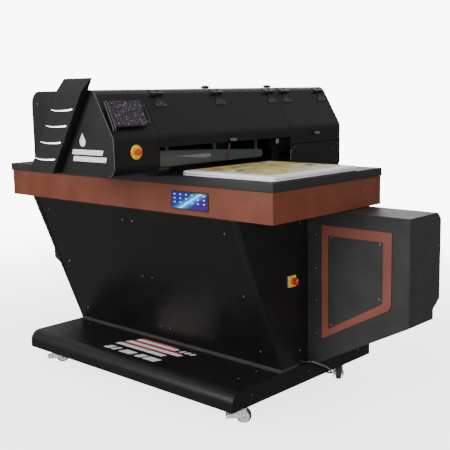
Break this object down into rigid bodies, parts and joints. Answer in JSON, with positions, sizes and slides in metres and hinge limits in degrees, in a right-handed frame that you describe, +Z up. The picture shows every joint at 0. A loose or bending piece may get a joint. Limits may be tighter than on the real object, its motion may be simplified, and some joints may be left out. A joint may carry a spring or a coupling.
{
  "type": "flatbed uv printer",
  "caption": "Wheeled flatbed UV printer: a bed slides along a long table under a bridging print hood, on a raked body with a long rear housing.",
  "frame": {"origin": "on the floor, under the middle of the machine box without its power lead", "axes": "+X along the table to the end where the bed comes out, +Y from the touch panel side to the rear housing side, +Z up"},
  "size_m": [2.6, 1.691, 1.56],
  "materials": {
    "black_coat": "fine-textured black powder coat, satin",
    "frame_steel": "dark grey painted tube",
    "zinc_steel": "zinc-plated steel",
    "caster_chrome": "bright chrome plating",
    "wheel_rubber": "grey-black rubber tread",
    "graphite_coat": "smooth graphite powder coat, satin",
    "bronze_coat": "metallic bronze-brown lacquer, satin",
    "rim_coat": "textured dark grey powder coat",
    "black_plastic": "moulded, matte",
    "screen_glass": "black cover glass, glossy",
    "aluminium": "anodised, satin",
    "bed_white": "white lacquer, satin",
    "print_board": "white board with a printed abstract pattern, satin gloss",
    "belt_rubber": "black toothed belt",
    "ink_plastic": "translucent bottles of coloured ink",
    "tinted_glass": "grey-green tinted acrylic",
    "light_diffuser": "white diffuser, lit",
    "safety_yellow": "moulded yellow, satin",
    "safety_red": "moulded red, satin",
    "lead_grey": "grey PVC sheath, matte"
  },
  "bodies": {
    "machine": {"base_tray": "black_coat", "chassis_frame": "frame_steel", "caster_plates": "zinc_steel", "front_skin_left": "black_coat", "front_skin_right": "black_coat", "side_skins": "black_coat", "rear_skin": "black_coat", "housing_left": "graphite_coat", "housing_right": "graphite_coat", "access_panels": "graphite_coat", "trim_frames": "bronze_coat", "fascia_pan": "bronze_coat", "table_frame": "frame_steel", "table_rim": "rim_coat", "table_top": "black_coat", "touch_bezel": "black_plastic", "touch_screen": "screen_glass", "bed_track": "zinc_steel", "gantry_uprights": "frame_steel", "gantry_beam": "aluminium", "carriage_rails": "zinc_steel", "carriage_belt": "belt_rubber", "belt_motor": "zinc_steel", "capping_station": "black_plastic", "ink_tanks": "ink_plastic", "hood_cover": "black_coat", "hood_brackets": "zinc_steel", "near_housing": "black_coat", "far_housing": "black_coat", "uv_shield": "tinted_glass", "lid_hinges": "zinc_steel", "light_fin": "black_coat", "light_strips": "light_diffuser", "vent_caps": "black_plastic", "estop_ring": "safety_yellow", "operator_tablet": "black_plastic", "isolator_plate": "safety_yellow", "power_lead": "lead_grey", "lead_coil": "lead_grey", "power_plug": "black_plastic"},
    "bed": {"bed_carriage": "aluminium", "bed_plate": "bed_white", "print_board": "print_board"},
    "print_carriage": {"print_carriage": "black_coat", "print_heads": "aluminium", "uv_lamps": "aluminium"},
    "drive_pulley": {"drive_pulley": "aluminium"},
    "idler_pulley": {"idler_pulley": "aluminium"},
    "lid_main": {"lid_main": "black_coat"},
    "lid_far": {"lid_far": "black_coat"},
    "estop_button": {"estop_button": "safety_red"},
    "isolator_knob": {"isolator_knob": "safety_red"},
    "fork_front_right": {"caster_fork_front_right": "caster_chrome"},
    "wheel_front_right": {"caster_wheel_front_right": "wheel_rubber"},
    "fork_rear_right": {"caster_fork_rear_right": "caster_chrome"},
    "wheel_rear_right": {"caster_wheel_rear_right": "wheel_rubber"},
    "fork_front_left": {"caster_fork_front_left": "caster_chrome"},
    "wheel_front_left": {"caster_wheel_front_left": "wheel_rubber"},
    "fork_rear_left": {"caster_fork_rear_left": "caster_chrome"},
    "wheel_rear_left": {"caster_wheel_rear_left": "wheel_rubber"}
  },
  "joints": [
    {"name": "bed_slide", "type": "slide", "parent": "machine", "child": "bed", "axis": [1, 0, 0], "range_m": [-1.34, 0]},
    {"name": "carriage_slide", "type": "slide", "parent": "machine", "child": "print_carriage", "axis": [0, 1, 0], "range_m": [-1.3, 0]},
    {"name": "drive_pulley_spin", "type": "hinge", "parent": "machine", "child": "drive_pulley", "pos_m": [0.002, -0.7455, 1.34], "axis": [1, 0, 0], "continuous": true},
    {"name": "idler_pulley_spin", "type": "hinge", "parent": "machine", "child": "idler_pulley", "pos_m": [0.002, 0.7855, 1.34], "axis": [1, 0, 0], "continuous": true},
    {"name": "lid_main_lift", "type": "hinge", "parent": "machine", "child": "lid_main", "pos_m": [0.26887, 0, 1.4853], "axis": [0, -1, 0], "range_deg": [0, 75]},
    {"name": "lid_far_lift", "type": "hinge", "parent": "machine", "child": "lid_far", "pos_m": [0.26887, 0.6175, 1.4853], "axis": [0, -1, 0], "range_deg": [0, 75]},
    {"name": "estop_press", "type": "slide", "parent": "machine", "child": "estop_button", "axis": [-1, 0, 0], "range_m": [0, 0.004], "stiffness_N_per_m": 900},
    {"name": "isolator_turn", "type": "hinge", "parent": "machine", "child": "isolator_knob", "pos_m": [0.757, -0.0935, 0.614], "axis": [1, 0, 0], "range_deg": [0, 90]},
    {"name": "swivel_front_right", "type": "hinge", "parent": "machine", "child": "fork_front_right", "pos_m": [0.69, -0.3975, 0.085], "axis": [0, 0, 1], "continuous": true},
    {"name": "roll_front_right", "type": "hinge", "parent": "fork_front_right", "child": "wheel_front_right", "pos_m": [0.70609, -0.3825, 0.035], "axis": [-0.682, 0.7314, 0], "continuous": true},
    {"name": "swivel_rear_right", "type": "hinge", "parent": "machine", "child": "fork_rear_right", "pos_m": [0.69, 0.3775, 0.085], "axis": [0, 0, 1], "continuous": true},
    {"name": "roll_rear_right", "type": "hinge", "parent": "fork_rear_right", "child": "wheel_rear_right", "pos_m": [0.705, 0.36141, 0.035], "axis": [0.7314, 0.682, 0], "continuous": true},
    {"name": "swivel_front_left", "type": "hinge", "parent": "machine", "child": "fork_front_left", "pos_m": [-0.665, -0.4125, 0.085], "axis": [0, 0, 1], "continuous": true},
    {"name": "roll_front_left", "type": "hinge", "parent": "fork_front_left", "child": "wheel_front_left", "pos_m": [-0.65238, -0.39448, 0.035], "axis": [-0.8192, 0.5736, 0], "continuous": true},
    {"name": "swivel_rear_left", "type": "hinge", "parent": "machine", "child": "fork_rear_left", "pos_m": [-0.69, 0.3775, 0.085], "axis": [0, 0, 1], "continuous": true},
    {"name": "roll_rear_left", "type": "hinge", "parent": "fork_rear_left", "child": "wheel_rear_left", "pos_m": [-0.67095, 0.3885, 0.035], "axis": [-0.5, 0.866, 0], "continuous": true}
  ],
  "couplings": [
    {"joint": "drive_pulley_spin", "follows": "carriage_slide", "rad_per_m": 57.803},
    {"joint": "idler_pulley_spin", "follows": "carriage_slide", "rad_per_m": 57.803}
  ]
}
